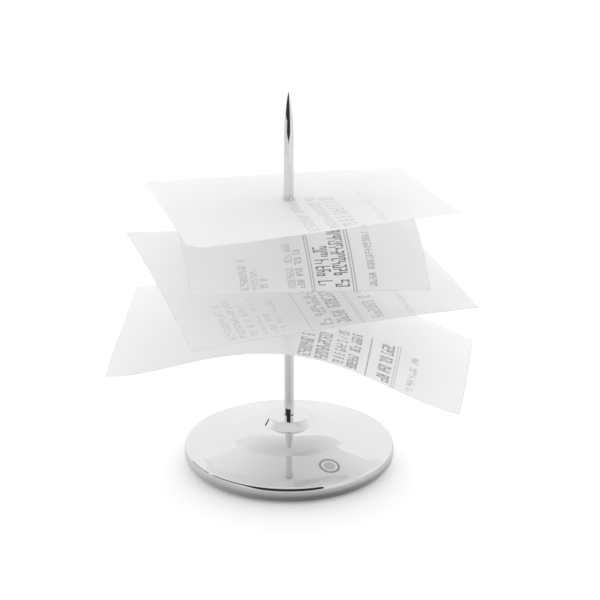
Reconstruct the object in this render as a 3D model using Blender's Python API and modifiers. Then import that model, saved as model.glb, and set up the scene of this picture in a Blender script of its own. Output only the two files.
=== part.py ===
"""A bill spike: a sharp rod on a weighted, stepped, chromed round base, with four till receipts on it.

Lengths are in metres and +Z is up. The origin is the middle of the foot pad's underside, on the rod's axis.
Far is +Y, near is -Y, and left is -X.
"""
import math

import bmesh
import bpy
import numpy as np
from mathutils import Matrix, Vector

# Fits shared by all pieces
CLEARANCE = 0.0003            # between pieces that touch
CAST_CLEARANCE = 0.0006       # between the cast ballast and the cover round it
CUT_OVERRUN = 0.001           # how far a cutter runs past what it cuts
MERGE_DISTANCE = 0.00001
ROUND_SEGMENTS = 48
SMALL_ROUND_SEGMENTS = 24
CORNER_STEPS = 3

# Pressed cover: radius and height of each bend of its outer face, and how far the bends are rounded
COVER_WALL = 0.0008
BASE_RADIUS = 0.045
BOSS_TOP_HEIGHT = 0.0214
BOSS_EDGE_RADIUS = 0.0093
BOSS_EDGE_HEIGHT = 0.0212
BOSS_FOOT_RADIUS = 0.01135
BOSS_FOOT_HEIGHT = 0.0179
DOME_RADIUS = 0.0197
DOME_HEIGHT = 0.0168
STEP_RADIUS = 0.026
STEP_HEIGHT = 0.01335
TIER_RADIUS = 0.0412
TIER_HEIGHT = 0.0093
SHOULDER_RADIUS = 0.0447
SHOULDER_HEIGHT = 0.0076
RIM_BELLY = 0.00025           # lost again to the rounding of the rim's widest bend
RIM_HEIGHT = 0.0053
TURN_RADIUS = 0.04475         # where the rim turns inwards
TURN_HEIGHT = 0.0026
RIM_FOOT_RADIUS = 0.0433
EDGE_ROUNDING = 0.001
DOME_ROUNDING = 0.035
TIER_ROUNDING = 0.012
SHOULDER_ROUNDING = 0.0012
RIM_ROUNDING = 0.005
TURN_ROUNDING = 0.002
LIP_WIDTH = 0.0023            # how far the rim is rolled in under the closing plate

# Foot pad and closing plate
PAD_PROUD = 0.0007            # how far the pad stands below the rim
PLATE_THICKNESS = 0.001
EDGE_CHAMFER = 0.0002

# Spike, with its thread drawn as a plain cylinder
ROD_RADIUS = 0.00215
SPIKE_HEIGHT = 0.1672
TIP_LENGTH = 0.021
TIP_STEPS = 9
THREAD_RADIUS = 0.0015
THREAD_SHOWING = 0.0003       # how far the thread runs out of the nut

# Fasteners under the ballast
WASHER_RADIUS = 0.0045
WASHER_THICKNESS = 0.0008
LOCK_WASHER_RADIUS = 0.0031
LOCK_WASHER_THICKNESS = 0.0008
LOCK_WASHER_SPLIT = 0.0009
NUT_ACROSS_FLATS = 0.0055
NUT_THICKNESS = 0.0024
NUT_SIDES = 6
RECESS_RADIUS = 0.006
RECESS_DEPTH = 0.0055

# Receipts, all cut from one width of till roll and drawn thicker than the real paper
RECEIPT_WIDTH = 0.08
RECEIPT_THICKNESS = 0.0003
RECEIPT_HOLE_CLEARANCE = 0.0004
RECEIPT_COLUMNS = 20
RECEIPT_ROWS = 10
HOLE_CUTTER_DEPTH = 0.012

# From the lowest up: each receipt's length, its turn about the rod in degrees, and the rise of its hole above
# the hole below it or the counter. Then where the hole lies along it from the left and across it from the far
# edge. Then how it bends: the rise of its far edge, middle and near edge at stations spread evenly from left to
# right, as shares of the width.
RECEIPTS = {
    "lowest_receipt": {
        "length": 0.153, "turn": -7.3, "rise": 0.0661, "hole_shares": (0.478, 0.487),
        "rise_shares": ((-0.07, 0.015, 0.015, -0.105, -0.285),
                        (-0.105, 0.005, -0.005, -0.105, -0.275),
                        (-0.17, -0.06, 0.01, -0.105, -0.275))},
    "second_receipt": {
        "length": 0.1285, "turn": 23.5, "rise": 0.02, "hole_shares": (0.461, 0.484),
        "rise_shares": ((0.18, 0.075, -0.02),
                        (0.045, -0.01, -0.07),
                        (-0.13, -0.12, -0.145))},
    "third_receipt": {
        "length": 0.099, "turn": 8.2, "rise": 0.018, "hole_shares": (0.459, 0.482),
        "rise_shares": ((0.045, 0.045, 0.045),
                        (-0.01, 0.03, 0.075),
                        (-0.08, -0.1, -0.14))},
    "top_receipt": {
        "length": 0.1137, "turn": 15.5, "rise": 0.0155, "hole_shares": (0.468, 0.455),
        "rise_shares": ((0, -0.02, -0.055),
                        (0.005, 0.005, -0.01),
                        (-0.005, 0.02, 0.05))},
}

# Heights that follow from the sizes above
PAD_THICKNESS = PAD_PROUD + COVER_WALL
PLATE_BOTTOM = PAD_THICKNESS + CLEARANCE
PLATE_TOP = PLATE_BOTTOM + PLATE_THICKNESS
BALLAST_BOTTOM = PLATE_TOP + CLEARANCE
WASHER_TOP = BALLAST_BOTTOM + RECESS_DEPTH - CLEARANCE
LOCK_WASHER_TOP = WASHER_TOP - WASHER_THICKNESS - CLEARANCE
NUT_TOP = LOCK_WASHER_TOP - LOCK_WASHER_THICKNESS - CLEARANCE
THREAD_END = NUT_TOP - NUT_THICKNESS - THREAD_SHOWING

BORE_RADIUS = THREAD_RADIUS + CLEARANCE
PLATE_RADIUS = RIM_FOOT_RADIUS - COVER_WALL - CLEARANCE
PAD_RADIUS = RIM_FOOT_RADIUS - LIP_WIDTH - CLEARANCE


def clear_scene():
    for old in list(bpy.data.objects):
        bpy.data.objects.remove(old, do_unlink=True)


def new_collection(name):
    collection = bpy.data.collections.new(name)
    bpy.context.scene.collection.children.link(collection)
    return collection


def new_material(name, colour, roughness, metallic):
    material = bpy.data.materials.new(name)
    material.use_nodes = True
    shader = material.node_tree.nodes["Principled BSDF"]
    shader.inputs["Base Color"].default_value = (*colour, 1.0)
    shader.inputs["Roughness"].default_value = roughness
    shader.inputs["Metallic"].default_value = metallic
    return material


def new_object(name, mesh, collection, material=None):
    piece = bpy.data.objects.new(name, mesh)
    collection.objects.link(piece)
    if material:
        mesh.materials.append(material)
    return piece


def round_corner(before, corner, after, radius, steps=CORNER_STEPS):
    """Points of the arc that replaces a corner of an outline."""
    before, corner, after = Vector(before), Vector(corner), Vector(after)
    back = (before - corner).normalized()
    ahead = (after - corner).normalized()
    half_angle = back.angle(ahead) / 2
    centre = corner + (back + ahead).normalized() * radius / math.sin(half_angle)
    tangent = radius / math.tan(half_angle)
    first = corner + back * tangent - centre
    last = corner + ahead * tangent - centre
    sweep = math.atan2(first.cross(last), first.dot(last))
    return [centre + Matrix.Rotation(sweep * step / steps, 2) @ first for step in range(steps + 1)]


def turned(name, outline, collection, material, closed=False, segments=ROUND_SEGMENTS):
    """A body of revolution about Z, from (radius, height) points that run down its outer side."""
    mesh = bpy.data.meshes.new(name)
    last = len(outline)
    edges = [(i, i + 1) for i in range(last - 1)]
    if closed:
        edges.append((last - 1, 0))
    mesh.from_pydata([(radius, 0, height) for radius, height in outline], edges, [])
    piece = new_object(name, mesh, collection, material)
    screw = piece.modifiers.new("Turn", "SCREW")
    screw.axis = "Z"
    screw.steps = segments
    screw.render_steps = segments
    screw.use_merge_vertices = True
    screw.merge_threshold = MERGE_DISTANCE
    screw.use_smooth_shade = True
    return piece


def ring(name, inner, outer, bottom, thickness, collection, material):
    """A flat round ring, closed all round."""
    top = bottom + thickness
    outline = [(inner, top), (outer, top), (outer, bottom), (inner, bottom)]
    return turned(name, outline, collection, material, closed=True, segments=SMALL_ROUND_SEGMENTS)


def disc(name, radius, bottom, thickness, collection, material):
    """A round plate with its two edges broken by a chamfer."""
    top = bottom + thickness
    outline = [(0, top), (radius - EDGE_CHAMFER, top), (radius, top - EDGE_CHAMFER),
               (radius, bottom + EDGE_CHAMFER), (radius - EDGE_CHAMFER, bottom), (0, bottom)]
    return turned(name, outline, collection, material)


def cut(piece, cutter):
    cutter.display_type = "WIRE"
    cutter.hide_render = True
    boolean = piece.modifiers.new("Cut", "BOOLEAN")
    boolean.operation = "DIFFERENCE"
    boolean.solver = "EXACT"
    boolean.object = cutter


def base_shell(parts, chrome):
    """The pressed cover: boss, domed tier, lower tier, rim, and the lip rolled in under the plate."""
    bends = [
        (BORE_RADIUS, BOSS_TOP_HEIGHT, 0),
        (BOSS_EDGE_RADIUS, BOSS_EDGE_HEIGHT, EDGE_ROUNDING),
        (BOSS_FOOT_RADIUS, BOSS_FOOT_HEIGHT, 0),
        (DOME_RADIUS, DOME_HEIGHT, DOME_ROUNDING),
        (STEP_RADIUS, STEP_HEIGHT, 0),
        (TIER_RADIUS, TIER_HEIGHT, TIER_ROUNDING),
        (SHOULDER_RADIUS, SHOULDER_HEIGHT, SHOULDER_ROUNDING),
        (BASE_RADIUS + RIM_BELLY, RIM_HEIGHT, RIM_ROUNDING),
        (TURN_RADIUS, TURN_HEIGHT, TURN_ROUNDING),
        (RIM_FOOT_RADIUS, PAD_PROUD, EDGE_ROUNDING),
        (RIM_FOOT_RADIUS - LIP_WIDTH, PAD_PROUD, 0),
    ]
    corners = [bend[:2] for bend in bends]
    outline = []
    for index, (radius, height, rounding) in enumerate(bends):
        if rounding:
            outline += round_corner(corners[index - 1], corners[index], corners[index + 1], rounding)
        else:
            outline.append((radius, height))
    cover = turned("base_shell", outline, parts, chrome)
    wall = cover.modifiers.new("Wall", "SOLIDIFY")
    wall.thickness = COVER_WALL
    wall.offset = -1
    wall.use_even_offset = True
    return cover


def ballast(parts, iron):
    """The cast weight, which follows the cover from below and is recessed underneath for the nut."""
    inset = COVER_WALL + CAST_CLEARANCE
    recess_top = BALLAST_BOTTOM + RECESS_DEPTH
    outline = [
        (BORE_RADIUS, BOSS_EDGE_HEIGHT - inset),
        (BOSS_EDGE_RADIUS - inset, BOSS_EDGE_HEIGHT - inset),
        (BOSS_FOOT_RADIUS - inset, BOSS_FOOT_HEIGHT - inset),
        (STEP_RADIUS - inset, STEP_HEIGHT - inset),
        (TIER_RADIUS - inset, TIER_HEIGHT - inset),
        (SHOULDER_RADIUS - inset, SHOULDER_HEIGHT - inset),
        (SHOULDER_RADIUS - inset, BALLAST_BOTTOM),
        (RECESS_RADIUS, BALLAST_BOTTOM),
        (RECESS_RADIUS, recess_top),
        (BORE_RADIUS, recess_top),
    ]
    return turned("ballast", outline, parts, iron, closed=True)


def spike_rod(parts, chrome):
    """The rod: an ogive tip, a plain shank that seats on the boss, and a thinner threaded end."""
    shank_bottom = BOSS_TOP_HEIGHT + CLEARANCE
    outline = []
    for step in range(TIP_STEPS + 1):
        share = step / TIP_STEPS
        outline.append((ROD_RADIUS * (1 - (1 - share) ** 2), SPIKE_HEIGHT - TIP_LENGTH * share))
    outline += [
        (ROD_RADIUS, shank_bottom),
        (THREAD_RADIUS, shank_bottom),
        (THREAD_RADIUS, THREAD_END),
        (0, THREAD_END),
    ]
    return turned("spike_rod", outline, parts, chrome, segments=SMALL_ROUND_SEGMENTS)


def lock_washer(parts, cutters, steel):
    """The split spring washer."""
    washer_bottom = LOCK_WASHER_TOP - LOCK_WASHER_THICKNESS
    washer = ring("lock_washer", BORE_RADIUS, LOCK_WASHER_RADIUS, washer_bottom, LOCK_WASHER_THICKNESS, parts,
                  steel)
    mesh = bpy.data.meshes.new("washer_split")
    box = bmesh.new()
    bmesh.ops.create_cube(box, size=1)
    reach = LOCK_WASHER_RADIUS + CUT_OVERRUN
    size = Vector((reach, LOCK_WASHER_SPLIT, LOCK_WASHER_THICKNESS + 2 * CUT_OVERRUN))
    bmesh.ops.scale(box, vec=size, verts=box.verts)
    bmesh.ops.translate(box, vec=(reach / 2, 0, washer_bottom + LOCK_WASHER_THICKNESS / 2), verts=box.verts)
    box.to_mesh(mesh)
    box.free()
    cut(washer, new_object("washer_split", mesh, cutters))
    return washer


def spike_nut(parts, cutters, steel):
    """The hexagon nut that pulls the rod's shoulder down on the boss."""
    nut_bottom = NUT_TOP - NUT_THICKNESS
    corner_radius = NUT_ACROSS_FLATS / 2 / math.cos(math.pi / NUT_SIDES)
    nut = prism("spike_nut", corner_radius, nut_bottom, NUT_THICKNESS, NUT_SIDES, parts, steel)
    bore = prism("nut_bore", BORE_RADIUS, nut_bottom - CUT_OVERRUN, NUT_THICKNESS + 2 * CUT_OVERRUN,
                 SMALL_ROUND_SEGMENTS, cutters)
    cut(nut, bore)
    return nut


def prism(name, radius, bottom, height, sides, collection, material=None):
    """An upright prism about the rod's axis."""
    mesh = bpy.data.meshes.new(name)
    shape = bmesh.new()
    bmesh.ops.create_cone(shape, cap_ends=True, segments=sides, radius1=radius, radius2=radius,
                          depth=height)
    bmesh.ops.translate(shape, vec=(0, 0, bottom + height / 2), verts=shape.verts)
    shape.to_mesh(mesh)
    shape.free()
    return new_object(name, mesh, collection, material)


def run_of(steps, rises, axis):
    """Level distances along a bent sheet whose own length in each step stays true."""
    level = np.sqrt(steps ** 2 - np.diff(rises, axis=axis) ** 2)
    edge = np.zeros_like(np.take(rises, [0], axis=axis))
    return np.concatenate([edge, np.cumsum(level, axis=axis)], axis=axis)


def receipt_points(shape, hole_height):
    """A bent receipt's points as an array of rows (far to near) by columns (left to right)."""
    along = np.linspace(0, 1, RECEIPT_COLUMNS + 1)
    across = np.linspace(0, 1, RECEIPT_ROWS + 1)
    stations = np.linspace(0, 1, len(shape["rise_shares"][0]))
    far, middle, near = (np.polyval(np.polyfit(stations, shares, len(shares) - 1), along)
                         for shares in shape["rise_shares"])
    share = across[:, None]
    rises = RECEIPT_WIDTH * (far * (1 - share) * (1 - 2 * share) + middle * 4 * share * (1 - share)
                             + near * share * (2 * share - 1))
    rightward = run_of(shape["length"] / RECEIPT_COLUMNS, rises, 1)
    nearward = run_of(RECEIPT_WIDTH / RECEIPT_ROWS, rises, 0)

    hole_along, hole_across = shape["hole_shares"]
    rightward = rightward - np.array([np.interp(hole_along, along, row) for row in rightward])[:, None]
    nearward = nearward - np.array([np.interp(hole_across, across, column) for column in nearward.T])
    hole_rise = np.interp(hole_across, across, [np.interp(hole_along, along, row) for row in rises])
    turn = math.radians(shape["turn"])
    return np.stack([rightward * math.cos(turn) + nearward * math.sin(turn),
                     rightward * math.sin(turn) - nearward * math.cos(turn),
                     rises - hole_rise + hole_height], axis=-1)


def receipt(name, shape, hole_height, parts, cutters, paper):
    """One receipt: a bent sheet with the hole that the rod has pierced in it."""
    points = receipt_points(shape, hole_height)
    mesh = bpy.data.meshes.new(name)
    grid = bmesh.new()
    bmesh.ops.create_grid(grid, x_segments=RECEIPT_COLUMNS, y_segments=RECEIPT_ROWS, size=1)
    for corner in grid.verts:
        column = round((corner.co.x + 1) / 2 * RECEIPT_COLUMNS)
        row = round((1 - corner.co.y) / 2 * RECEIPT_ROWS)
        corner.co = points[row, column]
    for face in grid.faces:
        face.smooth = True
    grid.to_mesh(mesh)
    grid.free()
    sheet = new_object(name, mesh, parts, paper)
    wall = sheet.modifiers.new("Thickness", "SOLIDIFY")
    wall.thickness = RECEIPT_THICKNESS
    wall.offset = 0
    hole = prism(name + "_hole", ROD_RADIUS + RECEIPT_HOLE_CLEARANCE, hole_height - HOLE_CUTTER_DEPTH / 2,
                 HOLE_CUTTER_DEPTH, SMALL_ROUND_SEGMENTS, cutters)
    cut(sheet, hole)
    return sheet


clear_scene()
parts = new_collection("bill_spike")
cutters = new_collection("cutters")

chrome = new_material("polished_chrome", (0.86, 0.86, 0.87), 0.04, 1.0)
iron = new_material("cast_iron", (0.12, 0.12, 0.12), 0.6, 1.0)
zinc = new_material("zinc_plated_steel", (0.62, 0.63, 0.65), 0.3, 1.0)
foam = new_material("black_foam", (0.02, 0.02, 0.02), 0.9, 0.0)
paper = new_material("thermal_paper", (0.88, 0.88, 0.88), 0.6, 0.0)

base_shell(parts, chrome)
ballast(parts, iron)
disc("closing_plate", PLATE_RADIUS, PLATE_BOTTOM, PLATE_THICKNESS, parts, zinc)
disc("foot_pad", PAD_RADIUS, 0, PAD_THICKNESS, parts, foam)
spike_rod(parts, chrome)
ring("spike_washer", BORE_RADIUS, WASHER_RADIUS, WASHER_TOP - WASHER_THICKNESS, WASHER_THICKNESS, parts,
     zinc)
lock_washer(parts, cutters, zinc)
spike_nut(parts, cutters, zinc)
hole_height = 0
for receipt_name, receipt_shape in RECEIPTS.items():
    hole_height += receipt_shape["rise"]
    receipt(receipt_name, receipt_shape, hole_height, parts, cutters, paper)
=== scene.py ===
"""Looks of a bill spike: a chromed base and rod, and four till receipts pierced on it.

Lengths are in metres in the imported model's frame: +Z up, -Y towards the viewer, the rod on the Z axis.
"""

import math

import bmesh
import bpy
import numpy as np
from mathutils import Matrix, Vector


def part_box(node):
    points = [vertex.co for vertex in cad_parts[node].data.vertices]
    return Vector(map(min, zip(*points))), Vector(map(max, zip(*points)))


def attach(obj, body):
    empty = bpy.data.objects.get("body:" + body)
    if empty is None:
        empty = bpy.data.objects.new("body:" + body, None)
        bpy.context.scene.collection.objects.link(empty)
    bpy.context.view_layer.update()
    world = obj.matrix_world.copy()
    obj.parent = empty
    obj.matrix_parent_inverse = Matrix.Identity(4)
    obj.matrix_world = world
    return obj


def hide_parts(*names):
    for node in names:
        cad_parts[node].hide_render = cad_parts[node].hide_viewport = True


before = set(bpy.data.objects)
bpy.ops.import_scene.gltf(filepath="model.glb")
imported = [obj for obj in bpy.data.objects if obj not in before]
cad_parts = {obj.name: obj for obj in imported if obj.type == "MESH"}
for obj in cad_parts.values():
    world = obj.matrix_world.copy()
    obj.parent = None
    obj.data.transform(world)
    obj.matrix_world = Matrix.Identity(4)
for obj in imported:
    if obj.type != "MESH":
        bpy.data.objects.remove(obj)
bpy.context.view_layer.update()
scene = bpy.context.scene
scene.view_settings.view_transform = "Standard"


# Camera. A long lens looks down at the spike from 1.2 m away, square to the counter's front edge.
CAMERA_TARGET = Vector((0.0047, 0, 0.0741))
CAMERA_DISTANCE = 1.2
CAMERA_ELEVATION = math.radians(22.5)
LENS_MM = 170.5

back = Vector((0, -math.cos(CAMERA_ELEVATION), math.sin(CAMERA_ELEVATION)))
camera = bpy.data.objects.new("camera", bpy.data.cameras.new("camera"))
camera.data.lens = LENS_MM
camera.location = CAMERA_TARGET + back * CAMERA_DISTANCE
camera.rotation_euler = (-back).to_track_quat("-Z", "Y").to_euler()
scene.collection.objects.link(camera)
scene.camera = camera


# Cover. The real one is pressed from 0.8 mm sheet steel in two tiers round a low boss, with its rim rolled in under
# the closing plate, then polished and chromed. The boss foot and the step stay crisp, and all other edges are soft.
MM = 0.001
SEGMENTS = 256
CORNER_POINTS = 16
COVER_WALL = 0.0008
BASE_RADIUS = 0.045
RIM_BELLY = 0.00025              # lost again to the rounding of the rim's widest bend
ROD_BORE = 0.0018
BOSS_TOP = 0.0214
RIM_BOTTOM = 0.0007
LIP_RADIUS = 0.041
SHARP_ANGLE = math.radians(35)

# Radius, height and rounding of each bend of the outer face, from the bore out to the lip
COVER_BENDS = (
    (ROD_BORE, BOSS_TOP, 0),
    (0.0093, 0.0212, 0.0008),
    (0.01135, 0.0179, 0.0002),
    (0.0197, 0.01669, 0.035),
    (0.026, 0.01335, 0.0003),
    (0.0412, 0.0093, 0.012),
    (0.0447, 0.0076, 0.0012),
    (BASE_RADIUS + RIM_BELLY, 0.0053, 0.005),
    (0.04475, 0.0026, 0.002),
    (0.0433, RIM_BOTTOM, 0.001),
    (LIP_RADIUS, RIM_BOTTOM, 0),
)

CHROME = "#E7E7E8"
CLEAR_ROUGHNESS = 0.02
HAZY_ROUGHNESS = 0.05
HAZE_SIZE = 100 / 9 * MM         # how far apart the hazy parts left by the buffing wheel lie, about 11 mm


def linear(colour):
    """An sRGB hex colour as linear red, green, blue and alpha."""
    levels = [int(colour[i:i + 2], 16) / 255 for i in (1, 3, 5)]
    return [level / 12.92 if level <= 0.04045 else ((level + 0.055) / 1.055) ** 2.4 for level in levels] + [1]


def wire(node, sockets):
    """Gives a node's sockets a value, another node's output, or a node that stands for its first live output."""
    for socket, value in sockets.items():
        if isinstance(value, bpy.types.Node):
            value = next(output for output in value.outputs if output.enabled)
        if isinstance(value, bpy.types.NodeSocket):
            node.id_data.links.new(value, node.inputs[socket])
        else:
            node.inputs[socket].default_value = value


def add(tree, kind, sockets=None, **settings):
    """Adds one node with its own settings, and with its sockets wired."""
    node = tree.nodes.new(kind)
    for name, value in settings.items():
        setattr(node, name, value)
    wire(node, sockets or {})
    return node


def new_material(name):
    """A material with its tree, its Principled shader and its output."""
    material = bpy.data.materials.new(name)
    material.use_nodes = True
    tree = material.node_tree
    return material, tree, tree.nodes["Principled BSDF"], tree.nodes["Material Output"]


def new_piece(name, mesh, material=None):
    """An object at the origin with its place in its mesh."""
    piece = bpy.data.objects.new(name, mesh)
    scene.collection.objects.link(piece)
    if material:
        mesh.materials.append(material)
    return piece


def set_input(piece, modifier, name, value):
    """Sets a geometry modifier's input by the name that its tree gives it."""
    for item in modifier.node_group.interface.items_tree:
        if item.item_type == "SOCKET" and item.in_out == "INPUT" and item.name == name:
            modifier[item.identifier] = value


def baked(piece):
    """Turns what a piece's modifiers make into its plain mesh."""
    bpy.context.view_layer.update()
    shaped = piece.evaluated_get(bpy.context.evaluated_depsgraph_get())
    mesh = bpy.data.meshes.new_from_object(shaped)
    piece.modifiers.clear()
    piece.data = mesh
    mesh.name = piece.name


def chrome_plate(name):
    """Chrome over polished steel: a mirror a little darker than what it shows, with the faint haze of buffing."""
    material, tree, shader, _ = new_material(name)
    place = add(tree, "ShaderNodeTexCoord").outputs["Object"]
    haze = add(tree, "ShaderNodeTexNoise", {"Vector": place, "Scale": 1 / HAZE_SIZE, "Detail": 3})
    gloss = add(tree, "ShaderNodeMapRange", {"Value": haze, "To Min": CLEAR_ROUGHNESS, "To Max": HAZY_ROUGHNESS})
    wire(shader, {"Base Color": linear(CHROME), "Metallic": 1, "Roughness": gloss})
    return material, tree, shader, place, gloss


# A roundel is etched in the lower tier: here a plain ring round a lightly frosted disc
ROUNDEL_PLACE = (0.0171, -0.0302, 0)
ROUNDEL_RADIUS = 0.0045
RING_WIDTH = 0.0011
DISC_RADIUS = 0.0024
DISC_SHARE = 0.55                # how deep the disc's etch is to the ring's
ETCHED_CHROME = "#A2A2A3"
ETCHED_ROUGHNESS = 0.3

cover_chrome, tree, shader, place, gloss = chrome_plate("etched_chrome_plate")
level = add(tree, "ShaderNodeVectorMath", {0: place, 1: (1, 1, 0)}, operation="MULTIPLY")
offset = add(tree, "ShaderNodeVectorMath", {0: level, 1: ROUNDEL_PLACE}, operation="SUBTRACT")
reach = add(tree, "ShaderNodeVectorMath", {0: offset}, operation="LENGTH")
ring = add(tree, "ShaderNodeMath", {0: reach, 1: ROUNDEL_RADIUS - RING_WIDTH / 2, 2: RING_WIDTH / 2},
           operation="COMPARE")
disc = add(tree, "ShaderNodeMath", {0: reach, 1: DISC_RADIUS}, operation="LESS_THAN")
frosted = add(tree, "ShaderNodeMath", {0: disc, 1: DISC_SHARE}, operation="MULTIPLY")
etched = add(tree, "ShaderNodeMath", {0: ring, 1: frosted}, operation="MAXIMUM")
tint = add(tree, "ShaderNodeMix", {"Factor": etched, 6: linear(CHROME), 7: linear(ETCHED_CHROME)}, data_type="RGBA")
dull = add(tree, "ShaderNodeMix", {"Factor": etched, "A": gloss, "B": ETCHED_ROUGHNESS})
wire(shader, {"Base Color": tint, "Roughness": dull})


def spun_tree():
    """Geometry nodes that round the corners of an outline and turn it about the Z axis."""
    tree = bpy.data.node_groups.new("spun_outline", "GeometryNodeTree")
    sockets = tree.interface
    sockets.new_socket("Outline", in_out="INPUT", socket_type="NodeSocketGeometry")
    sockets.new_socket("Axis Distance", in_out="INPUT", socket_type="NodeSocketFloat")
    sockets.new_socket("Segments", in_out="INPUT", socket_type="NodeSocketInt")
    sockets.new_socket("Corner Points", in_out="INPUT", socket_type="NodeSocketInt")
    sockets.new_socket("Material", in_out="INPUT", socket_type="NodeSocketMaterial")
    sockets.new_socket("Shape", in_out="OUTPUT", socket_type="NodeSocketGeometry")
    given = add(tree, "NodeGroupInput").outputs
    rounding = add(tree, "GeometryNodeInputNamedAttribute", {"Name": "rounding"}, data_type="FLOAT")
    line = add(tree, "GeometryNodeMeshToCurve", {"Mesh": given["Outline"]})
    bends = add(tree, "GeometryNodeFilletCurve", {"Curve": line, "Count": given["Corner Points"],
                                                  "Radius": rounding, "Limit Radius": True}, mode="POLY")
    circle = add(tree, "GeometryNodeCurvePrimitiveCircle", {"Resolution": given["Segments"],
                                                            "Radius": given["Axis Distance"]})
    skin = add(tree, "GeometryNodeCurveToMesh", {"Curve": circle, "Profile Curve": bends})
    smooth = add(tree, "GeometryNodeSetShadeSmooth", {"Geometry": skin, "Shade Smooth": True})
    real = add(tree, "GeometryNodeRealizeInstances", {"Geometry": smooth})
    finish = add(tree, "GeometryNodeSetMaterial", {"Geometry": real, "Material": given["Material"]})
    add(tree, "NodeGroupOutput", {"Shape": finish})
    return tree


def spun(name, bends, material):
    """An open skin turned from (radius, height, rounding) bends that run down its outer side."""
    reach = max(radius for radius, _, _ in bends)
    mesh = bpy.data.meshes.new(name)
    points = [(radius - reach, -height, 0) for radius, height, _ in bends]
    mesh.from_pydata(points, [(i, i + 1) for i in range(len(points) - 1)], [])
    rounding = mesh.attributes.new("rounding", "FLOAT", "POINT")
    rounding.data.foreach_set("value", [size for _, _, size in bends])
    piece = new_piece(name, mesh)
    turn = piece.modifiers.new("Turn", "NODES")
    turn.node_group = spun_tree()
    set_input(piece, turn, "Axis Distance", reach)
    set_input(piece, turn, "Segments", SEGMENTS)
    set_input(piece, turn, "Corner Points", CORNER_POINTS)
    set_input(piece, turn, "Material", material)
    return piece


cover = spun("chromed_cover", COVER_BENDS, cover_chrome)
wall = cover.modifiers.new("Wall", "SOLIDIFY")
wall.thickness = COVER_WALL
wall.offset = -1
wall.use_even_offset = True
baked(cover)
cover.data.set_sharp_from_angle(angle=SHARP_ANGLE)
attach(cover, "stand")
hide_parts("base_shell")


# Rod. The real one is drawn steel bar, ground to a long ogive point, polished and chromed, with a thread at its
# foot. It stands through the cover's boss, with its shoulder on the boss, and is clamped from below.
ROD_RADIUS = 0.00215
TIP_HEIGHT = 0.1672
TIP_LENGTH = 0.021
TIP_POINTS = 24
SHANK_BOTTOM = 0.0217
THREAD_RADIUS = 0.0015
ROD_SEGMENTS = 64
WELD_DISTANCE = 0.00001

rod_chrome = chrome_plate("chromed_steel_bar")[0]
thread_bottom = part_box("spike_rod")[0][2]
outline = []
for step in range(TIP_POINTS + 1):
    share = step / TIP_POINTS
    outline.append((ROD_RADIUS * (1 - (1 - share) ** 2), 0, TIP_HEIGHT - TIP_LENGTH * share))
outline += [(ROD_RADIUS, 0, SHANK_BOTTOM), (THREAD_RADIUS, 0, SHANK_BOTTOM), (THREAD_RADIUS, 0, thread_bottom),
            (0, 0, thread_bottom)]
mesh = bpy.data.meshes.new("pointed_rod")
mesh.from_pydata(outline, [(i, i + 1) for i in range(len(outline) - 1)], [])
rod = new_piece("pointed_rod", mesh, rod_chrome)
turn = rod.modifiers.new("Turn", "SCREW")
turn.steps = turn.render_steps = ROD_SEGMENTS
turn.use_merge_vertices = True
turn.merge_threshold = WELD_DISTANCE
turn.use_smooth_shade = True
baked(rod)
rod.data.set_sharp_from_angle(angle=SHARP_ANGLE)
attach(rod, "stand")
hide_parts("spike_rod")


# Ballast. The real one is a sand-cast disc of grey iron, left as cast, that lies under the cover and keeps the tall
# spike from tipping. It looks dark and dull, with the sand's grain in its skin.
IRON_GRAIN = 2 / 3 * MM          # real moulding sand is 0.2 mm, drawn coarser so that it shows
IRON_DENT = 0.0002


def finished(node, material):
    """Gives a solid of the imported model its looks."""
    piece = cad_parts[node]
    piece.data.materials.clear()
    piece.data.materials.append(material)


iron, tree, shader, _ = new_material("as_cast_iron")
place = add(tree, "ShaderNodeTexCoord").outputs["Object"]
grain = add(tree, "ShaderNodeTexNoise", {"Vector": place, "Scale": 1 / IRON_GRAIN, "Detail": 6})
tone = add(tree, "ShaderNodeMix", {"Factor": grain, 6: linear("#2B2B2D"), 7: linear("#4A4A4C")}, data_type="RGBA")
relief = add(tree, "ShaderNodeBump", {"Height": grain, "Distance": IRON_DENT, "Strength": 0.6})
wire(shader, {"Base Color": tone, "Normal": relief, "Metallic": 1, "Roughness": 0.65})
finished("ballast", iron)


# Fasteners. Under the ballast a plain washer, a split spring washer and a hexagon nut hold the rod's threaded end.
# All are steel plated with bright zinc, which looks pale and satin with a slightly cloudy gloss.
ZINC_CLOUD = 2.5 * MM            # how far apart the cloudy parts lie

zinc, tree, shader, _ = new_material("bright_zinc_plate")
place = add(tree, "ShaderNodeTexCoord").outputs["Object"]
cloud = add(tree, "ShaderNodeTexNoise", {"Vector": place, "Scale": 1 / ZINC_CLOUD, "Detail": 4})
tone = add(tree, "ShaderNodeMix", {"Factor": cloud, 6: linear("#B4B8BE"), 7: linear("#CDD0D3")}, data_type="RGBA")
gloss = add(tree, "ShaderNodeMapRange", {"Value": cloud, "To Min": 0.22, "To Max": 0.4})
wire(shader, {"Base Color": tone, "Roughness": gloss, "Metallic": 1})
for node in ("spike_washer", "lock_washer", "spike_nut"):
    finished(node, zinc)


# Closing plate. The real one is a disc of pressed steel, plated with the same bright zinc. It closes the cover from
# below and is held by the rolled rim.
finished("closing_plate", zinc)


# Foot pad. The real one is a disc of black foam rubber, glued under the closing plate and a little proud of the
# rim, so that the steel doesn't scratch the counter. It looks matt and near black, with fine pores.
PORE_SIZE = 0.4 * MM
PORE_DEPTH = 0.0003

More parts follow.
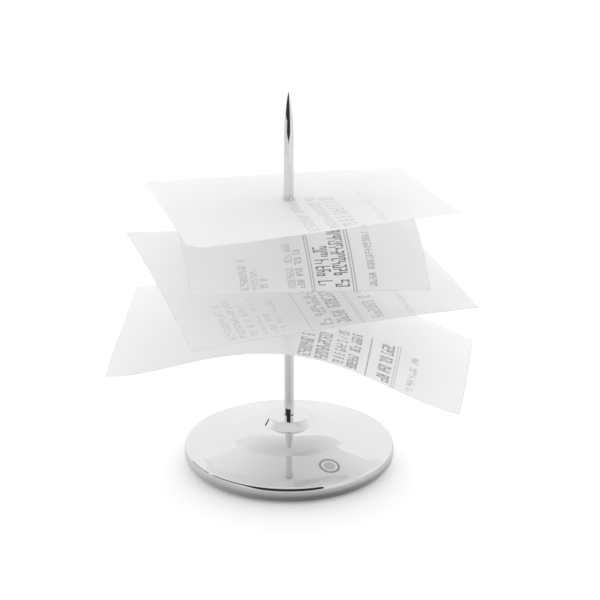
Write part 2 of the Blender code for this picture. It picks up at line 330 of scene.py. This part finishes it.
foam, tree, shader, _ = new_material("black_foam_rubber")
place = add(tree, "ShaderNodeTexCoord").outputs["Object"]
pores = add(tree, "ShaderNodeTexVoronoi", {"Vector": place, "Scale": 1 / PORE_SIZE})
relief = add(tree, "ShaderNodeBump", {"Height": pores, "Distance": PORE_DEPTH, "Strength": 0.7})
wire(shader, {"Base Color": linear("#1C1C1C"), "Roughness": 0.9, "Normal": relief})
finished("foot_pad", foam)


# Receipts. The real ones are 80 mm thermal till roll, printed grey, pierced near the middle so that the torn paper
# stands up round the rod, and bent by their own weight and by the curl of the roll.
PAPER_WIDTH = 0.08
PAPER_THICKNESS = 0.0001
HOLE_RADIUS = 0.0024
HOLE_SEGMENTS = 32
PUNCH_DEPTH = 0.01
COLUMNS = 150
ROWS = 80

# Length, turn about the rod in degrees, height of the hole, where the hole lies along the receipt from its left
# and across it from its far edge, and the rise of its far edge, middle and near edge from left to right, as
# shares of its width. Then the print, in mm: each line's distance from the left end, its height, how far it
# reads from the near edge and how black it is, each ruled line's distance from the left end and blackness, how
# far the ruled lines reach, and the print's skew. Last come the paper's tone, which on the second and third
# receipts is a little grey as painted shade from the sheets above, and the roll of its near left corner.
RECEIPTS = {
    "lowest_receipt": {
        "body": "lowest_sheet", "length": 0.153, "turn": -7.3, "height": 0.0661, "hole_shares": (0.478, 0.487),
        "rise_shares": ((-0.07, 0.015, 0.015, -0.105, -0.285),
                        (-0.105, 0.005, -0.005, -0.105, -0.275),
                        (-0.17, -0.06, 0.01, -0.105, -0.275)),
        "print": ((81.6, 5.5, 24, 0.85), (88.7, 5.5, 30, 0.9), (96.4, 4.5, 36, 0.9), (102.3, 4.5, 40, 0.95),
                  (115.5, 5.5, 36, 0.95), (128.7, 3.2, 32, 0.65)),
        "rules": ((110.8, 0.65), (122.4, 0.4), (123.5, 0.4)), "rule_reach": 40, "print_skew": -0.03,
        "tone": "#FAFAFA"},
    # Its tone is a little grey: painted shade from the two sheets above
    "second_receipt": {
        "body": "second_sheet", "length": 0.1285, "turn": 23.5, "height": 0.0861, "hole_shares": (0.461, 0.484),
        "rise_shares": ((0.18, 0.075, -0.02),
                        (0.045, -0.01, -0.07),
                        (-0.13, -0.12, -0.145)),
        "print": ((17, 3, 22, 0.35), (22, 3, 24, 0.4), (27, 3, 20, 0.35), (32.5, 2, 24, 0.3), (36, 3, 14, 0.35),
                  (40.5, 3, 22, 0.35), (57.5, 5.5, 34, 0.55), (65, 6, 34, 0.65), (80.5, 5.5, 30, 0.5),
                  (97, 2.5, 30, 0.35)),
        "rules": ((52.7, 0.3), (75.2, 0.3), (76.4, 0.3)), "rule_reach": 75, "print_skew": 0.02,
        "tone": "#F5F5F5"},
    # Its tone is a little grey: painted shade from the top sheet above
    "third_receipt": {
        "body": "third_sheet", "length": 0.099, "turn": 8.2, "height": 0.1041, "hole_shares": (0.459, 0.482),
        "rise_shares": ((0.045, 0.045, 0.045),
                        (-0.01, 0.03, 0.075),
                        (-0.08, -0.1, -0.14)),
        "print": ((20.5, 3.2, 22, 0.55), (25, 2.8, 14, 0.45), (28.5, 3, 9, 0.55), (40, 3.2, 32, 0.5),
                  (44, 3, 26, 0.65), (52.5, 6, 31, 1), (59.5, 6, 36, 1), (74, 3, 38, 0.7)),
        "rules": ((49.7, 0.55), (50.8, 0.55), (66.9, 0.6), (68.1, 0.6)), "rule_reach": 75, "print_skew": 0.03,
        "tone": "#F7F7F7"},
    "top_receipt": {
        "body": "top_sheet", "length": 0.1137, "turn": 15.5, "height": 0.1196, "hole_shares": (0.468, 0.455),
        "rise_shares": ((0, -0.02, -0.055),
                        (0.005, 0.005, -0.01),
                        (-0.005, 0.02, 0.05)),
        "print": ((50.5, 4.5, 38, 0.36), (59.5, 4, 40, 0.38), (65.5, 6, 42, 0.42), (82, 2.5, 44, 0.25)),
        "rules": (), "rule_reach": 0, "print_skew": 0, "tone": "#FAFAFA",
        "curl_reach": 0.0065, "curl_radius": 0.01},
}
CURL_CELLS = 8                   # of the sheet's grid, from the corner in, that give the way in which it is rolled


def run_of(steps, rises, axis):
    """Level distances along a bent sheet whose own length in each step stays true."""
    level = np.sqrt(steps ** 2 - np.diff(rises, axis=axis) ** 2)
    edge = np.zeros_like(np.take(rises, [0], axis=axis))
    return np.concatenate([edge, np.cumsum(level, axis=axis)], axis=axis)


def receipt_points(shape):
    """A bent receipt's points as rows from far to near by columns from left to right."""
    along = np.linspace(0, 1, COLUMNS + 1)
    across = np.linspace(0, 1, ROWS + 1)
    stations = np.linspace(0, 1, len(shape["rise_shares"][0]))
    far, middle, near = (np.polyval(np.polyfit(stations, shares, len(shares) - 1), along)
                         for shares in shape["rise_shares"])
    share = across[:, None]
    rises = PAPER_WIDTH * (far * (1 - share) * (1 - 2 * share) + middle * 4 * share * (1 - share)
                           + near * share * (2 * share - 1))
    rightward = run_of(shape["length"] / COLUMNS, rises, 1)
    nearward = run_of(PAPER_WIDTH / ROWS, rises, 0)
    hole_along, hole_across = shape["hole_shares"]
    rightward = rightward - np.array([np.interp(hole_along, along, row) for row in rightward])[:, None]
    nearward = nearward - np.array([np.interp(hole_across, across, column) for column in nearward.T])
    hole_rise = np.interp(hole_across, across, [np.interp(hole_along, along, row) for row in rises])
    turn = math.radians(shape["turn"])
    points = np.stack([rightward * math.cos(turn) + nearward * math.sin(turn),
                       rightward * math.sin(turn) - nearward * math.cos(turn),
                       rises - hole_rise + shape["height"]], axis=-1)
    if "curl_reach" in shape:
        # The near left corner is rolled up round a line across the corner
        inward = (along * shape["length"] + (1 - share) * PAPER_WIDTH) / math.sqrt(2)
        rolled = np.maximum(0, shape["curl_reach"] - inward)[..., None]
        outward = points[-1, 0] - points[-1 - CURL_CELLS, CURL_CELLS]
        outward /= np.linalg.norm(outward)
        angle = rolled / shape["curl_radius"]
        points += (shape["curl_radius"] * np.sin(angle) - rolled) * outward
        points += shape["curl_radius"] * (1 - np.cos(angle)) * np.array((0, 0, 1))
    return points


# A line of print is a row of marks, built of stems and bars like a seven-bar display's. Each is laid out in four
# steps across, the last of them the gap before the next, and seven rows down
PRINT_MARGIN = 2.5 * MM
MARK_PITCH = 1.5 * MM            # how far apart the marks of a line are, with a share of the line's height added
MARK_PITCH_SHARE = 0.12
MARK_STEPS = 4
MARK_ROWS = 7
ROWS_BETWEEN_BARS = 3
STEMS_LEFT_OUT = 0.35
BARS_LEFT_OUT = 0.45
MARKS_LEFT_OUT = 0.13
STEP_SEED, HALF_SEED = 7.3, 3.1  # with the next two, these keep the chances of stems, bars and marks apart
STEM_DRAW = 1.5
MARK_DRAW = 9.5


def till_line_group():
    """Shader nodes for the ink of one line of print."""
    group = bpy.data.node_groups.new("till_line", "ShaderNodeTree")
    for name in ("Along", "Across", "Start", "Height", "Reach", "Seed", "Ink"):
        group.interface.new_socket(name, in_out="INPUT", socket_type="NodeSocketFloat")
    group.interface.new_socket("Ink", in_out="OUTPUT", socket_type="NodeSocketFloat")
    given = add(group, "NodeGroupInput").outputs

    def kept(first, second, third, left_out):
        """1 for what chance keeps, and 0 for the share of marks, stems or bars that it leaves out."""
        spot = add(group, "ShaderNodeCombineXYZ", {"X": first, "Y": second, "Z": third})
        chance = add(group, "ShaderNodeTexWhiteNoise", {"Vector": spot})
        return add(group, "ShaderNodeMath", {0: chance, 1: left_out}, operation="GREATER_THAN")

    pitch = add(group, "ShaderNodeMath", {0: given["Height"], 1: MARK_PITCH_SHARE, 2: MARK_PITCH},
                operation="MULTIPLY_ADD")
    read = add(group, "ShaderNodeMath", {0: given["Across"], 1: PRINT_MARGIN}, operation="SUBTRACT")
    column = add(group, "ShaderNodeMath", {0: read, 1: pitch}, operation="DIVIDE")
    index = add(group, "ShaderNodeMath", {0: column}, operation="FLOOR")
    step = add(group, "ShaderNodeMath", {0: column}, operation="FRACT")
    step = add(group, "ShaderNodeMath", {0: step, 1: MARK_STEPS}, operation="MULTIPLY")
    step = add(group, "ShaderNodeMath", {0: step}, operation="FLOOR")
    down = add(group, "ShaderNodeMath", {0: given["Along"], 1: given["Start"]}, operation="SUBTRACT")
    down = add(group, "ShaderNodeMath", {0: down, 1: given["Height"]}, operation="DIVIDE")
    row = add(group, "ShaderNodeMath", {0: down, 1: MARK_ROWS}, operation="MULTIPLY")
    row = add(group, "ShaderNodeMath", {0: row}, operation="FLOOR")
    # A stem stands at each side of a mark and is black in its upper or lower half, or in both
    half = add(group, "ShaderNodeMath", {0: down, 1: 0.5}, operation="GREATER_THAN")
    half_seed = add(group, "ShaderNodeMath", {0: half, 1: HALF_SEED, 2: given["Seed"]}, operation="MULTIPLY_ADD")
    stem_seed = add(group, "ShaderNodeMath", {0: step, 1: STEP_SEED, 2: half_seed}, operation="MULTIPLY_ADD")
    aside = add(group, "ShaderNodeMath", {0: step, 1: 1}, operation="SUBTRACT")
    aside = add(group, "ShaderNodeMath", {0: aside}, operation="ABSOLUTE")
    at_side = add(group, "ShaderNodeMath", {0: aside, 1: 0.5}, operation="GREATER_THAN")
    stem = add(group, "ShaderNodeMath", {0: kept(index, stem_seed, STEM_DRAW, STEMS_LEFT_OUT), 1: at_side},
               operation="MULTIPLY")
    # A bar lies at its head, middle and foot
    third = add(group, "ShaderNodeMath", {0: row, 1: ROWS_BETWEEN_BARS}, operation="MODULO")
    bar_row = add(group, "ShaderNodeMath", {0: third, 1: 0, 2: 0.1}, operation="COMPARE")
    bar = add(group, "ShaderNodeMath", {0: bar_row, 1: kept(index, row, given["Seed"], BARS_LEFT_OUT)},
              operation="MULTIPLY")
    mark = add(group, "ShaderNodeMath", {0: stem, 1: bar}, operation="MAXIMUM")
    before_gap = add(group, "ShaderNodeMath", {0: step, 1: MARK_STEPS - 1.5}, operation="LESS_THAN")
    past_margin = add(group, "ShaderNodeMath", {0: read, 1: 0}, operation="GREATER_THAN")
    start = add(group, "ShaderNodeMath", {0: index, 1: pitch}, operation="MULTIPLY")
    in_reach = add(group, "ShaderNodeMath", {0: start, 1: given["Reach"]}, operation="LESS_THAN")
    in_line = add(group, "ShaderNodeMath", {0: down, 1: 0.5, 2: 0.5}, operation="COMPARE")
    for condition in (before_gap, kept(index, given["Seed"], MARK_DRAW, MARKS_LEFT_OUT), past_margin, in_reach,
                      in_line, given["Ink"]):
        mark = add(group, "ShaderNodeMath", {0: mark, 1: condition}, operation="MULTIPLY")
    add(group, "NodeGroupOutput", {"Ink": mark})
    return group


till_line = till_line_group()

INK = "#505052"
WORN_INK = 0.6                   # how black the most worn print still is
WEAR_SIZE = 2.5 * MM
RULE_HALF_WIDTH = 0.28 * MM
PAPER_ROUGHNESS = 0.5
SCATTERED_SHARE = 0.65           # of the light that the paper takes up, and lets out at its other side
CLEAR_SHARE = 0.3                # of the light that goes straight through bare paper


def thermal_paper(name, tone):
    """Smooth, thin white paper that lets light through, both scattered and straight."""
    material, tree, shader, output = new_material(name)
    wire(shader, {"Base Color": linear(tone), "Roughness": PAPER_ROUGHNESS})
    glow = add(tree, "ShaderNodeBsdfTranslucent", {"Color": linear(tone)})
    body = add(tree, "ShaderNodeMixShader", {"Fac": SCATTERED_SHARE, 1: shader, 2: glow})
    clear = add(tree, "ShaderNodeBsdfTransparent")
    thin = add(tree, "ShaderNodeMixShader", {"Fac": CLEAR_SHARE, 1: body, 2: clear})
    wire(output, {"Surface": thin})
    return material, tree, shader, glow, thin


def printed_paper(name, shape):
    """Thermal paper with its lines of grey print, a little worn, and ruled lines across it."""
    material, tree, shader, glow, thin = thermal_paper(name, shape["tone"])
    flat = add(tree, "ShaderNodeUVMap", uv_map="flat_sheet")
    spot = add(tree, "ShaderNodeSeparateXYZ", {"Vector": flat}).outputs
    along = add(tree, "ShaderNodeMath", {0: spot["Y"], 1: -shape["print_skew"], 2: spot["X"]},
                operation="MULTIPLY_ADD")
    ruled = add(tree, "ShaderNodeMath", {0: spot["Y"], 1: shape["rule_reach"] * MM}, operation="LESS_THAN")
    ink = 0
    for seed, (start, height, reach, black) in enumerate(shape["print"]):
        line = add(tree, "ShaderNodeGroup", node_tree=till_line)
        wire(line, {"Along": along, "Across": spot["Y"], "Start": start * MM, "Height": height * MM,
                    "Reach": reach * MM, "Seed": seed + 0.5, "Ink": black})
        ink = add(tree, "ShaderNodeMath", {0: line, 1: ink}, operation="MAXIMUM")
    for place, black in shape["rules"]:
        rule = add(tree, "ShaderNodeMath", {0: along, 1: place * MM, 2: RULE_HALF_WIDTH}, operation="COMPARE")
        rule = add(tree, "ShaderNodeMath", {0: rule, 1: black}, operation="MULTIPLY")
        rule = add(tree, "ShaderNodeMath", {0: rule, 1: ruled}, operation="MULTIPLY")
        ink = add(tree, "ShaderNodeMath", {0: rule, 1: ink}, operation="MAXIMUM")
    worn = add(tree, "ShaderNodeTexNoise", {"Vector": flat, "Scale": 1 / WEAR_SIZE, "Detail": 2})
    fade = add(tree, "ShaderNodeMapRange", {"Value": worn, "To Min": WORN_INK, "To Max": 1})
    ink = add(tree, "ShaderNodeMath", {0: fade, 1: ink}, operation="MULTIPLY")
    tint = add(tree, "ShaderNodeMix", {"Factor": ink, 6: linear(shape["tone"]), 7: linear(INK)}, data_type="RGBA")
    open_share = add(tree, "ShaderNodeMapRange", {"Value": ink, "To Min": CLEAR_SHARE, "To Max": 0})
    wire(shader, {"Base Color": tint})
    wire(glow, {"Color": tint})
    wire(thin, {"Fac": open_share})
    return material


# Torn paper round a hole: tapering teeth that the spike pushed up as it came through
TEETH = 7
TOOTH_LENGTH = 0.002
TOOTH_WIDTH = 0.0022
TOOTH_LEAN = 0.0003
TOOTH_TAPER = 0.9                # how much of its width a tooth has lost at its point
TAPER_POWER = 1.6
TILTS = (-0.15, 0.25)            # in radians, from the rod
SIZES = (0.45, 1.2)              # as shares of the tooth's length


def torn_tree():
    """Geometry nodes that set a torn tooth on each point of a hole's edge."""
    tree = bpy.data.node_groups.new("torn_teeth", "GeometryNodeTree")
    sockets = tree.interface
    sockets.new_socket("Edge", in_out="INPUT", socket_type="NodeSocketGeometry")
    for name in ("Tooth Length", "Tooth Width", "Lean"):
        sockets.new_socket(name, in_out="INPUT", socket_type="NodeSocketFloat")
    sockets.new_socket("Seed", in_out="INPUT", socket_type="NodeSocketInt")
    sockets.new_socket("Material", in_out="INPUT", socket_type="NodeSocketMaterial")
    sockets.new_socket("Teeth", in_out="OUTPUT", socket_type="NodeSocketGeometry")
    given = add(tree, "NodeGroupInput").outputs
    grid = add(tree, "GeometryNodeMeshGrid", {"Size X": given["Tooth Length"], "Size Y": given["Tooth Width"],
                                              "Vertices X": 8, "Vertices Y": 5})
    place = add(tree, "GeometryNodeInputPosition")
    spot = add(tree, "ShaderNodeSeparateXYZ", {"Vector": place}).outputs
    up_share = add(tree, "ShaderNodeMath", {0: spot["X"], 1: given["Tooth Length"]}, operation="DIVIDE")
    up_share = add(tree, "ShaderNodeMath", {0: up_share, 1: 0.5}, operation="ADD")
    lost = add(tree, "ShaderNodeMath", {0: up_share, 1: TAPER_POWER}, operation="POWER")
    lost = add(tree, "ShaderNodeMath", {0: lost, 1: TOOTH_TAPER}, operation="MULTIPLY")
    taper = add(tree, "ShaderNodeMath", {0: 1, 1: lost}, operation="SUBTRACT")
    lean = add(tree, "ShaderNodeMath", {0: up_share, 1: given["Lean"]}, operation="MULTIPLY")
    lean = add(tree, "ShaderNodeMath", {0: lean, 1: -1}, operation="MULTIPLY")
    aside = add(tree, "ShaderNodeMath", {0: spot["Y"], 1: taper}, operation="MULTIPLY")
    rise = add(tree, "ShaderNodeMath", {0: up_share, 1: given["Tooth Length"]}, operation="MULTIPLY")
    risen = add(tree, "ShaderNodeCombineXYZ", {"X": lean, "Y": aside, "Z": rise})
    tooth = add(tree, "GeometryNodeSetPosition", {"Geometry": grid, "Position": risen})
    bearing = add(tree, "ShaderNodeMath", {0: spot["Y"], 1: spot["X"]}, operation="ARCTAN2")
    tilt = add(tree, "FunctionNodeRandomValue", {2: TILTS[0], 3: TILTS[1], "Seed": given["Seed"]},
               data_type="FLOAT")
    size = add(tree, "FunctionNodeRandomValue", {2: SIZES[0], 3: SIZES[1], "Seed": given["Seed"]},
               data_type="FLOAT")
    turn = add(tree, "ShaderNodeCombineXYZ", {"Y": tilt, "Z": bearing})
    scale = add(tree, "ShaderNodeCombineXYZ", {"X": 1, "Y": 1, "Z": size})
    ring = add(tree, "GeometryNodeInstanceOnPoints", {"Points": given["Edge"], "Instance": tooth, "Rotation": turn,
                                                      "Scale": scale})
    real = add(tree, "GeometryNodeRealizeInstances", {"Geometry": ring})
    smooth = add(tree, "GeometryNodeSetShadeSmooth", {"Geometry": real, "Shade Smooth": True})
    finish = add(tree, "GeometryNodeSetMaterial", {"Geometry": smooth, "Material": given["Material"]})
    add(tree, "NodeGroupOutput", {"Teeth": finish})
    return tree


torn_teeth = torn_tree()
plain_paper = thermal_paper("plain_thermal_paper", "#FAFAFA")[0]

for number, (name, shape) in enumerate(RECEIPTS.items()):
    points = receipt_points(shape)
    mesh = bpy.data.meshes.new(name)
    grid = bmesh.new()
    flat = grid.loops.layers.uv.new("flat_sheet")
    corners = [[grid.verts.new(point) for point in row] for row in points]
    for row in range(ROWS):
        for column in range(COLUMNS):
            spots = ((row, column), (row + 1, column), (row + 1, column + 1), (row, column + 1))
            face = grid.faces.new([corners[r][c] for r, c in spots])
            face.smooth = True
            for loop, (r, c) in zip(face.loops, spots):
                loop[flat].uv = (c / COLUMNS * shape["length"], (1 - r / ROWS) * PAPER_WIDTH)
    grid.to_mesh(mesh)
    grid.free()
    sheet = new_piece("printed_" + name, mesh, printed_paper("thermal_paper_of_" + name, shape))
    mesh.materials.append(plain_paper)
    wall = sheet.modifiers.new("Thickness", "SOLIDIFY")
    wall.thickness = PAPER_THICKNESS
    wall.offset = 0
    wall.material_offset = wall.material_offset_rim = 1

    punch = bmesh.new()
    bmesh.ops.create_cone(punch, cap_ends=True, segments=HOLE_SEGMENTS, radius1=HOLE_RADIUS, radius2=HOLE_RADIUS,
                          depth=PUNCH_DEPTH)
    bmesh.ops.translate(punch, vec=(0, 0, shape["height"]), verts=punch.verts)
    mesh = bpy.data.meshes.new("spike_punch")
    punch.to_mesh(mesh)
    punch.free()
    cutter = new_piece("spike_punch", mesh)
    pierced = sheet.modifiers.new("Pierced", "BOOLEAN")
    pierced.operation = "DIFFERENCE"
    pierced.solver = "EXACT"
    pierced.object = cutter
    baked(sheet)
    bpy.data.objects.remove(cutter, do_unlink=True)

    edge = bmesh.new()
    bmesh.ops.create_circle(edge, segments=TEETH, radius=HOLE_RADIUS)
    bmesh.ops.translate(edge, vec=(0, 0, shape["height"]), verts=edge.verts)
    mesh = bpy.data.meshes.new("torn_collar")
    edge.to_mesh(mesh)
    edge.free()
    collar = new_piece("torn_collar_of_" + name, mesh)
    teeth = collar.modifiers.new("Torn", "NODES")
    teeth.node_group = torn_teeth
    set_input(collar, teeth, "Tooth Length", TOOTH_LENGTH)
    set_input(collar, teeth, "Tooth Width", TOOTH_WIDTH)
    set_input(collar, teeth, "Lean", TOOTH_LEAN)
    set_input(collar, teeth, "Seed", number)
    set_input(collar, teeth, "Material", plain_paper)
    wall = collar.modifiers.new("Thickness", "SOLIDIFY")
    wall.thickness = PAPER_THICKNESS
    baked(collar)
    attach(collar, shape["body"])

    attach(sheet, shape["body"])
    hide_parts(name)


# Counter. A worktop of white laminate, smooth and a little satin, that ends 0.4 m in front of the spike and up to
# 0.9 m away at its left. Seen directly it is a little brighter than its light makes it, and it keeps the base's
# shadow.
COUNTER_OUTLINE = ((-0.32, -0.42), (3, -0.42), (3, 3), (-0.9, 3), (-0.9, -0.25), (-0.55, -0.72))
COUNTER_COLOUR = "#F4F4F4"
COUNTER_ROUGHNESS = 0.6
COUNTER_GLOW = 0.16

# In the chrome the counter shows painted shade and painted reflection in place of its own shading: dark close round
# the base, where the base and the receipts shade it, and soft lighter and darker patches further out. Here come
# shares of the distance to where it is bright, and then bearings in degrees, 0 in front and -90 at the left, each
# with how bright the counter is there
COUNTER_SHADE = 0.25             # from the rod to where the counter is bright in the chrome
PAINTED_SHADE_STOPS = ((0.184, 0.2), (0.1925, 0.23), (0.197, 0.43), (0.211, 0.5), (0.24, 0.55), (0.3, 0.64), (0.42, 0.72),
               (0.6, 0.82), (1, 1))
PAINTED_PATCH_BEARINGS = ((-150, 1), (-118, 0.98), (-84, 0.8), (-56, 0.73), (-9, 0.84), (37, 0.88), (61, 0.92), (95, 0.86),
                  (128, 0.85), (170, 1))
CLEAR_WAY = (-0.25, 0.97, 0)     # the dark round the base clears this way, behind the spike
CLEARED_SHARE = 0.75


def bearing_share(tree, point):
    """How far round a point lies, from behind the spike past its left, its front and its right, from 0 to 1."""
    parts = add(tree, "ShaderNodeSeparateXYZ", {"Vector": point}).outputs
    ahead = add(tree, "ShaderNodeMath", {0: parts["Y"], 1: -1}, operation="MULTIPLY")
    bearing = add(tree, "ShaderNodeMath", {0: parts["X"], 1: ahead}, operation="ARCTAN2")
    return add(tree, "ShaderNodeMapRange", {"Value": bearing, "From Min": -math.pi, "From Max": math.pi})


def shares_of(bearings):
    """Stops at bearings in degrees as stops at shares of the way round."""
    return [(0.5 + degrees / 360, level) for degrees, level in bearings]


def set_stops(ramp, interpolation, stops):
    """Gives a colour ramp its grey levels at places from 0 to 1."""
    ramp.color_ramp.interpolation = interpolation
    elements = ramp.color_ramp.elements
    elements[0].position, elements[1].position = 0, 1
    elements[0].color = (stops[0][1],) * 3 + (1,)
    elements[1].color = (stops[-1][1],) * 3 + (1,)
    for place, level in stops:
        elements.new(place).color = (level, level, level, 1)


mesh = bpy.data.meshes.new("counter")
mesh.from_pydata([(x, y, 0) for x, y in COUNTER_OUTLINE], [], [range(len(COUNTER_OUTLINE))])
laminate, tree, shader, output = new_material("white_laminate")
wire(shader, {"Base Color": linear(COUNTER_COLOUR), "Roughness": COUNTER_ROUGHNESS})
ray = add(tree, "ShaderNodeLightPath").outputs
glow = add(tree, "ShaderNodeMath", {0: ray["Is Camera Ray"], 1: COUNTER_GLOW}, operation="MULTIPLY")
white = add(tree, "ShaderNodeEmission", {"Strength": glow})
seen = add(tree, "ShaderNodeAddShader", {0: shader, 1: white})
spot = add(tree, "ShaderNodeTexCoord").outputs["Object"]
away = add(tree, "ShaderNodeVectorMath", {0: spot}, operation="LENGTH")
far_share = add(tree, "ShaderNodeMath", {0: away, 1: COUNTER_SHADE}, operation="DIVIDE")
shade = add(tree, "ShaderNodeValToRGB", {"Fac": far_share})
set_stops(shade, "LINEAR", PAINTED_SHADE_STOPS)
behind = add(tree, "ShaderNodeVectorMath", {0: spot, 1: CLEAR_WAY}, operation="DOT_PRODUCT")
behind = add(tree, "ShaderNodeMath", {0: behind, 1: away}, operation="DIVIDE")
clear = add(tree, "ShaderNodeMapRange", {"Value": behind, "From Min": -1, "From Max": 0, "To Max": CLEARED_SHARE})
cleared = add(tree, "ShaderNodeMix", {"Factor": clear, "A": shade, "B": 1})
painted_patches = add(tree, "ShaderNodeValToRGB", {"Fac": bearing_share(tree, spot)})
set_stops(painted_patches, "LINEAR", shares_of(PAINTED_PATCH_BEARINGS))
level = add(tree, "ShaderNodeMath", {0: cleared, 1: painted_patches}, operation="MULTIPLY")
# Painted reflection: glossy rays see this painted level of shade and patches instead of the counter's own shading
painted_reflection = add(tree, "ShaderNodeEmission", {"Strength": level})
either = add(tree, "ShaderNodeMixShader", {"Fac": ray["Is Glossy Ray"], 1: seen, 2: painted_reflection})
wire(output, {"Surface": either})
laminate.cycles.emission_sampling = "NONE"
counter = new_piece("counter", mesh, laminate)


# Room. It is white. A dark part low in front and to the left, and a grey front, are painted into the chrome's
# reflection only, where they make its black lines, and give no light. What lights the scene comes more from behind
# and from the right, and seen directly the room is plain white.
# Bearings as for the counter, each with how high the dark part reaches from there on: 0 is straight down, 0.5 is
# level and 1 is straight up
DARK_BEARINGS = ((-180, 0), (-150, 0.45), (-125, 0.61), (-118, 0.605), (-111, 0.63), (-104, 0.65), (-95, 0.38),
                 (-89, 0.7), (-84, 0.715), (-78, 0.73), (-70, 0.748), (-60, 0.76), (36, 0))
DARK_LEVEL = 0.04
FRONT_LEVEL = 0.78               # the mirrored room is a little grey in front, and turns white beside the spike
FRONT_EDGE, SIDE_EDGE = -0.3, 0.1    # how far back a way points where the grey starts to fade and where it ends
BRIGHT_WAY = (0.15, 0.98, 0)
FAINT_LIGHT, BRIGHT_LIGHT = 0.57, 1.62

world = bpy.data.worlds.new("studio")
scene.world = world
world.use_nodes = True
tree = world.node_tree
tree.nodes.clear()
way = add(tree, "ShaderNodeTexCoord").outputs["Generated"]
parts = add(tree, "ShaderNodeSeparateXYZ", {"Vector": way}).outputs
top = add(tree, "ShaderNodeValToRGB", {"Fac": bearing_share(tree, way)})
set_stops(top, "CONSTANT", shares_of(DARK_BEARINGS))
top = add(tree, "ShaderNodeMath", {0: top, 1: 2, 2: -1}, operation="MULTIPLY_ADD")
dark = add(tree, "ShaderNodeMath", {0: top, 1: parts["Z"]}, operation="GREATER_THAN")
grey = add(tree, "ShaderNodeMapRange", {"Value": parts["Y"], "From Min": FRONT_EDGE, "From Max": SIDE_EDGE,
                                        "To Min": FRONT_LEVEL, "To Max": 1})
# Painted reflection: the dark part and the grey front show only in the chrome, and give no light
painted_reflection = add(tree, "ShaderNodeMix", {"Factor": dark, "A": grey, "B": DARK_LEVEL})
toward = add(tree, "ShaderNodeVectorMath", {0: way, 1: BRIGHT_WAY}, operation="DOT_PRODUCT")
lit = add(tree, "ShaderNodeMapRange", {"Value": toward, "From Min": -1, "From Max": 1, "To Min": FAINT_LIGHT,
                                       "To Max": BRIGHT_LIGHT})
ray = add(tree, "ShaderNodeLightPath").outputs
direct = add(tree, "ShaderNodeMix", {"Factor": ray["Is Camera Ray"], "A": lit, "B": 1})
strength = add(tree, "ShaderNodeMix", {"Factor": ray["Is Glossy Ray"], "A": direct, "B": painted_reflection})
light = add(tree, "ShaderNodeBackground", {"Color": linear("#FFFFFF"), "Strength": strength})
add(tree, "ShaderNodeOutputWorld", {"Surface": light})
